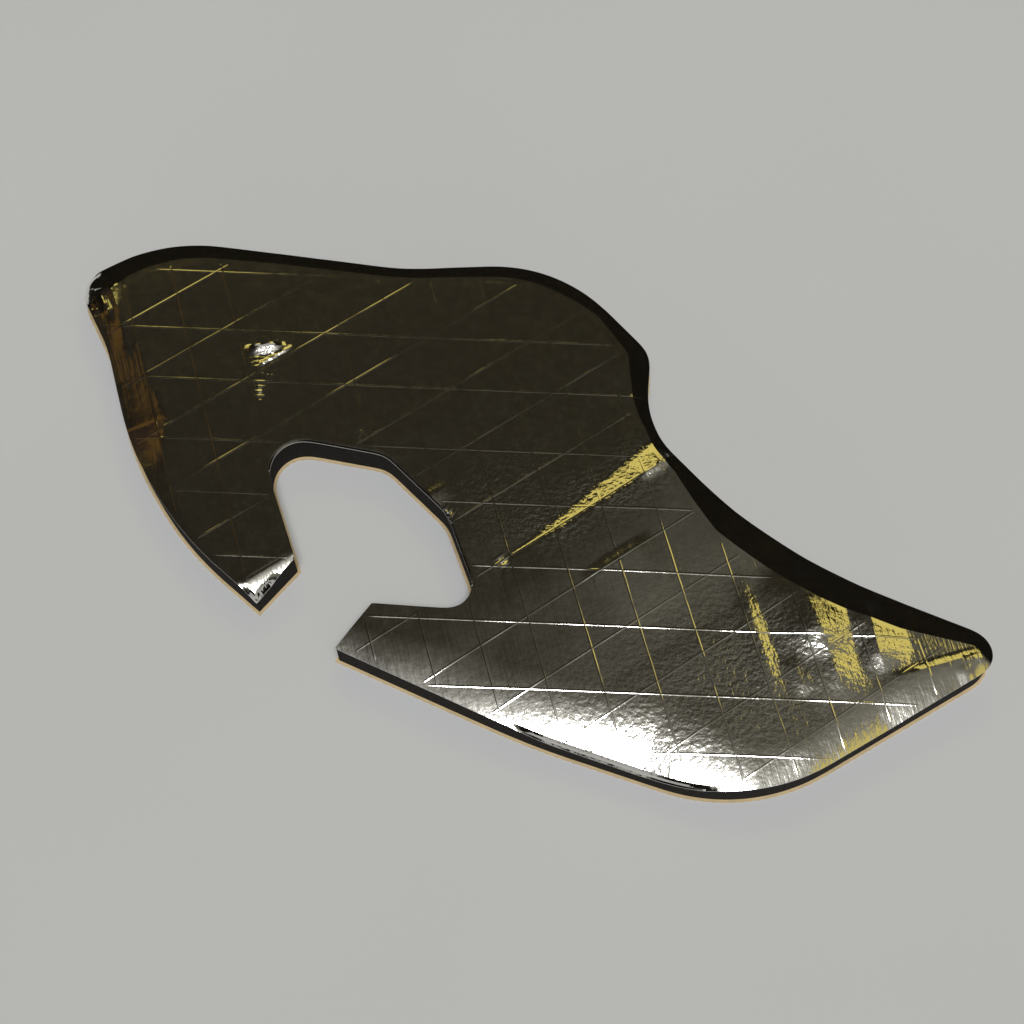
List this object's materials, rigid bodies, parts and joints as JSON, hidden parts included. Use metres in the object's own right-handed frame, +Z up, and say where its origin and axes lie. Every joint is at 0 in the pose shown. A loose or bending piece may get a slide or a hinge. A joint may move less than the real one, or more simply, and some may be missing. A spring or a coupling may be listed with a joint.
{
  "type": "heat insulation pad",
  "caption": "Flat die-cut heat insulation pad with an edge notch: yarn-reinforced foil facing over black foam, on a paper release liner.",
  "frame": {"origin": "middle of the underside of the release liner, on the surface that the pad lies on", "axes": "+X along the pad's longest extent towards the pointed tail, +Y across it towards the head's crown, +Z up out of the foil face"},
  "size_m": [0.1748, 0.1126, 0.0082],
  "materials": {
    "foil": "bright foil with raised reinforcing yarns",
    "foam": "matte closed-cell foam",
    "liner": "matte kraft paper"
  },
  "bodies": {
    "root": {"foil_facing": "foil", "foam_core": "foam", "release_liner": "liner"}
  },
  "joints": []
}
